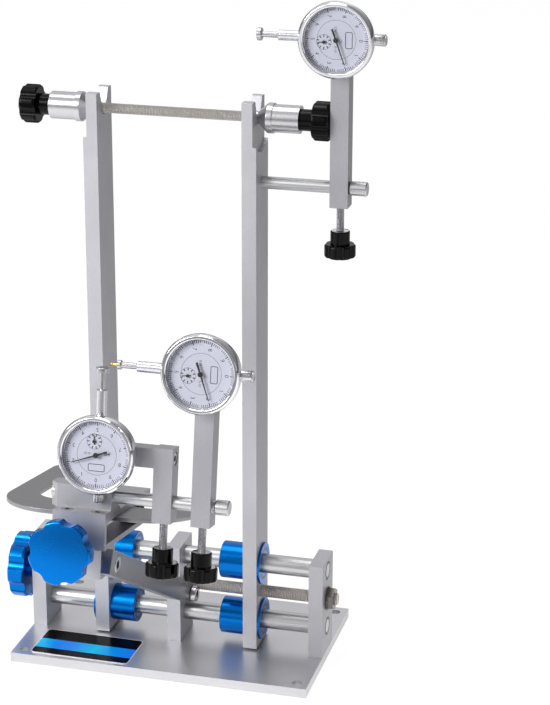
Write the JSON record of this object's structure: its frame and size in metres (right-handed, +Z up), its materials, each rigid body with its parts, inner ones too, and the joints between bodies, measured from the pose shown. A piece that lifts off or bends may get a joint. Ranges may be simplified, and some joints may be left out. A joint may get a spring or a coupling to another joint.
{
  "type": "wheel truing stand with dial gauges",
  "caption": "Bench stand for truing bicycle wheels: screw-driven uprights, clamped hub axle, swinging horseshoe feeler head and dial gauges on arms.",
  "frame": {"origin": "middle of the underside of the base plate", "axes": "+X to the right along the lead screw, +Y to the back, +Z up"},
  "size_m": [0.3183, 0.3428, 0.5585],
  "materials": {
    "aluminium_parts": "bead blasted and clear anodised",
    "blue_parts": "blue anodised",
    "black_grips": "moulded black plastic",
    "bright_steel": "ground and polished",
    "thread_steel": "plated threads",
    "chrome_bezel": "polished chrome",
    "case_paint": "dark satin coating",
    "dial_paint": "matt white enamel",
    "hand_paint": "matt black"
  },
  "bodies": {
    "base": {"base_plate": "aluminium_parts", "left_end_plate": "aluminium_parts", "right_end_plate": "aluminium_parts", "centre_plate": "aluminium_parts", "base_screws": "bright_steel", "upper_guide_rod": "bright_steel", "lower_guide_rod": "bright_steel", "pivot_fasteners": "bright_steel"},
    "lead": {"lead_screw": "thread_steel", "handwheel": "blue_parts", "lead_screw_nut": "bright_steel"},
    "left_post": {"left_upright": "aluminium_parts", "left_bushings": "blue_parts"},
    "right_post": {"right_upright": "aluminium_parts", "right_bushings": "blue_parts", "top_rod": "bright_steel", "top_rod_nut": "bright_steel"},
    "axle": {"axle_rod": "thread_steel"},
    "left_adapter": {"left_cone": "bright_steel"},
    "right_adapter": {"right_cone": "bright_steel"},
    "left_grip": {"left_axle_knob": "black_grips"},
    "right_grip": {"right_axle_knob": "black_grips"},
    "top_carrier": {"top_arm": "aluminium_parts", "top_gauge_case": "case_paint", "top_gauge_dial": "dial_paint"},
    "top_clamp": {"top_arm_knob": "black_grips"},
    "arm": {"swing_arm": "aluminium_parts"},
    "head": {"head_block": "aluminium_parts", "head_bolt": "bright_steel"},
    "carriage": {"caliper_bracket": "aluminium_parts", "clamp_block": "aluminium_parts", "block_screws": "bright_steel", "caliper_rod": "bright_steel"},
    "feed": {"front_knob": "blue_parts"},
    "shoe": {"horseshoe": "aluminium_parts"},
    "shoe_grip": {"horseshoe_knob": "black_grips"},
    "side_carrier": {"side_arm": "aluminium_parts", "side_gauge_case": "case_paint", "side_gauge_dial": "dial_paint"},
    "side_clamp": {"side_arm_knob": "black_grips"},
    "post_carrier": {"post_arm": "aluminium_parts", "cross_arm": "aluminium_parts", "cross_arm_screw": "bright_steel", "lower_gauge_case": "case_paint", "lower_gauge_dial": "dial_paint"},
    "post_clamp": {"post_arm_knob": "black_grips"},
    "top_bezel": {"top_gauge_bezel": "chrome_bezel"},
    "top_hand": {"top_gauge_hand": "hand_paint"},
    "top_counter_hand": {"top_gauge_counter_hand": "hand_paint"},
    "top_plunger": {"top_gauge_plunger": "bright_steel"},
    "side_bezel": {"side_gauge_bezel": "chrome_bezel"},
    "side_hand": {"side_gauge_hand": "hand_paint"},
    "side_counter_hand": {"side_gauge_counter_hand": "hand_paint"},
    "side_plunger": {"side_gauge_plunger": "bright_steel"},
    "lower_bezel": {"lower_gauge_bezel": "chrome_bezel"},
    "lower_hand": {"lower_gauge_hand": "hand_paint"},
    "lower_counter_hand": {"lower_gauge_counter_hand": "hand_paint"},
    "lower_plunger": {"lower_gauge_plunger": "bright_steel"}
  },
  "joints": [
    {"name": "lead_screw_turn", "type": "hinge", "parent": "base", "child": "lead", "pos_m": [0, -0.0035, 0.0555], "axis": [1, 0, 0], "range_deg": [-2160, 8640]},
    {"name": "right_post_slide", "type": "slide", "parent": "base", "child": "right_post", "axis": [1, 0, 0], "range_m": [-0.009, 0.036]},
    {"name": "left_post_slide", "type": "slide", "parent": "base", "child": "left_post", "axis": [-1, 0, 0], "range_m": [-0.009, 0.036]},
    {"name": "axle_turn", "type": "hinge", "parent": "base", "child": "axle", "pos_m": [0, -0.0035, 0.461], "axis": [1, 0, 0], "continuous": true},
    {"name": "right_knob_turn", "type": "hinge", "parent": "right_adapter", "child": "right_grip", "pos_m": [0.11, -0.0035, 0.461], "axis": [1, 0, 0], "range_deg": [0, 288]},
    {"name": "right_cone_slide", "type": "slide", "parent": "right_post", "child": "right_adapter", "axis": [1, 0, 0], "range_m": [0, 0.001]},
    {"name": "left_knob_turn", "type": "hinge", "parent": "left_adapter", "child": "left_grip", "pos_m": [-0.11, -0.0035, 0.461], "axis": [-1, 0, 0], "range_deg": [0, 2880]},
    {"name": "left_cone_slide", "type": "slide", "parent": "left_post", "child": "left_adapter", "axis": [-1, 0, 0], "range_m": [0, 0.01]},
    {"name": "top_arm_turn", "type": "hinge", "parent": "right_post", "child": "top_carrier", "pos_m": [0.1344, -0.0035, 0.409], "axis": [1, 0, 0], "range_deg": [-75, 75]},
    {"name": "top_clamp_turn", "type": "hinge", "parent": "top_carrier", "child": "top_clamp", "pos_m": [0.1344, -0.0035, 0.36], "axis": [0, 0, 1], "range_deg": [0, 720]},
    {"name": "swing_arm_turn", "type": "hinge", "parent": "base", "child": "arm", "pos_m": [0.009, -0.0155, 0.0515], "axis": [1, 0, 0], "range_deg": [-8, 20]},
    {"name": "head_tilt", "type": "hinge", "parent": "arm", "child": "head", "pos_m": [0.009, -0.20242, 0.16073], "axis": [1, 0, 0], "range_deg": [-12, 12]},
    {"name": "carriage_feed", "type": "slide", "parent": "head", "child": "carriage", "axis": [0, 0.9848, -0.1736], "range_m": [-0.01, 0.01]},
    {"name": "feed_knob_turn", "type": "hinge", "parent": "carriage", "child": "feed", "pos_m": [-0.012, -0.24165, 0.18877], "axis": [0, 0.9848, -0.1736], "range_deg": [-2880, 2880]},
    {"name": "horseshoe_slide", "type": "slide", "parent": "carriage", "child": "shoe", "axis": [0, 0.9848, -0.1736], "range_m": [0, 0.008]},
    {"name": "horseshoe_knob_turn", "type": "hinge", "parent": "carriage", "child": "shoe_grip", "pos_m": [0.008, -0.15351, 0.18186], "axis": [0, -0.1736, -0.9848], "range_deg": [0, 720]},
    {"name": "side_arm_turn", "type": "hinge", "parent": "carriage", "child": "side_carrier", "pos_m": [0.0812, -0.20612, 0.21753], "axis": [1, 0, 0], "range_deg": [-40, 20]},
    {"name": "side_clamp_turn", "type": "hinge", "parent": "side_carrier", "child": "side_clamp", "pos_m": [0.0812, -0.21393, 0.17322], "axis": [0, -0.1736, -0.9848], "range_deg": [0, 720]},
    {"name": "post_arm_slide", "type": "slide", "parent": "carriage", "child": "post_carrier", "axis": [1, 0, 0], "range_m": [-0.01, 0.004]},
    {"name": "post_clamp_turn", "type": "hinge", "parent": "post_carrier", "child": "post_clamp", "pos_m": [0.0515, -0.21393, 0.17322], "axis": [0, -0.1736, -0.9848], "range_deg": [0, 720]},
    {"name": "top_bezel_turn", "type": "hinge", "parent": "top_carrier", "child": "top_bezel", "pos_m": [0.1344, -0.026, 0.529], "axis": [0, 1, 0], "range_deg": [-180, 180]},
    {"name": "top_hand_turn", "type": "hinge", "parent": "top_carrier", "child": "top_hand", "pos_m": [0.1344, -0.026, 0.529], "axis": [0, 1, 0], "range_deg": [0, 3600]},
    {"name": "top_counter_hand_turn", "type": "hinge", "parent": "top_carrier", "child": "top_counter_hand", "pos_m": [0.1246, -0.026, 0.527], "axis": [0, 1, 0], "range_deg": [0, 360]},
    {"name": "top_plunger_slide", "type": "slide", "parent": "top_carrier", "child": "top_plunger", "axis": [1, 0, 0], "range_m": [0, 0.01], "stiffness_N_per_m": 100, "springref_m": -0.005},
    {"name": "side_bezel_turn", "type": "hinge", "parent": "side_carrier", "child": "side_bezel", "pos_m": [0.0812, -0.21074, 0.32091], "axis": [0, 0.9848, -0.1736], "range_deg": [-180, 180]},
    {"name": "side_hand_turn", "type": "hinge", "parent": "side_carrier", "child": "side_hand", "pos_m": [0.0812, -0.21074, 0.32091], "axis": [0, 0.9848, -0.1736], "range_deg": [0, 3600]},
    {"name": "side_counter_hand_turn", "type": "hinge", "parent": "side_carrier", "child": "side_counter_hand", "pos_m": [0.0714, -0.21108, 0.31894], "axis": [0, 0.9848, -0.1736], "range_deg": [0, 360]},
    {"name": "side_plunger_slide", "type": "slide", "parent": "side_carrier", "child": "side_plunger", "axis": [1, 0, 0], "range_m": [0, 0.01], "stiffness_N_per_m": 100, "springref_m": -0.005},
    {"name": "lower_bezel_turn", "type": "hinge", "parent": "post_carrier", "child": "lower_bezel", "pos_m": [0.0048, -0.22229, 0.25542], "axis": [0, 0.9848, -0.1736], "range_deg": [-180, 180]},
    {"name": "lower_hand_turn", "type": "hinge", "parent": "post_carrier", "child": "lower_hand", "pos_m": [0.0048, -0.22229, 0.25542], "axis": [0, 0.9848, -0.1736], "range_deg": [0, 3600]},
    {"name": "lower_counter_hand_turn", "type": "hinge", "parent": "post_carrier", "child": "lower_counter_hand", "pos_m": [0.0028, -0.22058, 0.26507], "axis": [0, 0.9848, -0.1736], "range_deg": [0, 360]},
    {"name": "lower_plunger_slide", "type": "slide", "parent": "post_carrier", "child": "lower_plunger", "axis": [0, -0.1736, -0.9848], "range_m": [0, 0.01], "stiffness_N_per_m": 100, "springref_m": -0.005}
  ],
  "couplings": [
    {"joint": "left_post_slide", "follows": "right_post_slide", "ratio": 1},
    {"joint": "lead_screw_turn", "follows": "right_post_slide", "rad_per_m": 4188.8},
    {"joint": "right_knob_turn", "follows": "right_cone_slide", "rad_per_m": 5026.5},
    {"joint": "left_knob_turn", "follows": "left_cone_slide", "rad_per_m": 5026.5},
    {"joint": "feed_knob_turn", "follows": "carriage_feed", "rad_per_m": 5026.5},
    {"joint": "top_hand_turn", "follows": "top_plunger_slide", "rad_per_m": 6283.2},
    {"joint": "top_counter_hand_turn", "follows": "top_plunger_slide", "rad_per_m": 628.32},
    {"joint": "side_hand_turn", "follows": "side_plunger_slide", "rad_per_m": 6283.2},
    {"joint": "side_counter_hand_turn", "follows": "side_plunger_slide", "rad_per_m": 628.32},
    {"joint": "lower_hand_turn", "follows": "lower_plunger_slide", "rad_per_m": 6283.2},
    {"joint": "lower_counter_hand_turn", "follows": "lower_plunger_slide", "rad_per_m": 628.32}
  ]
}
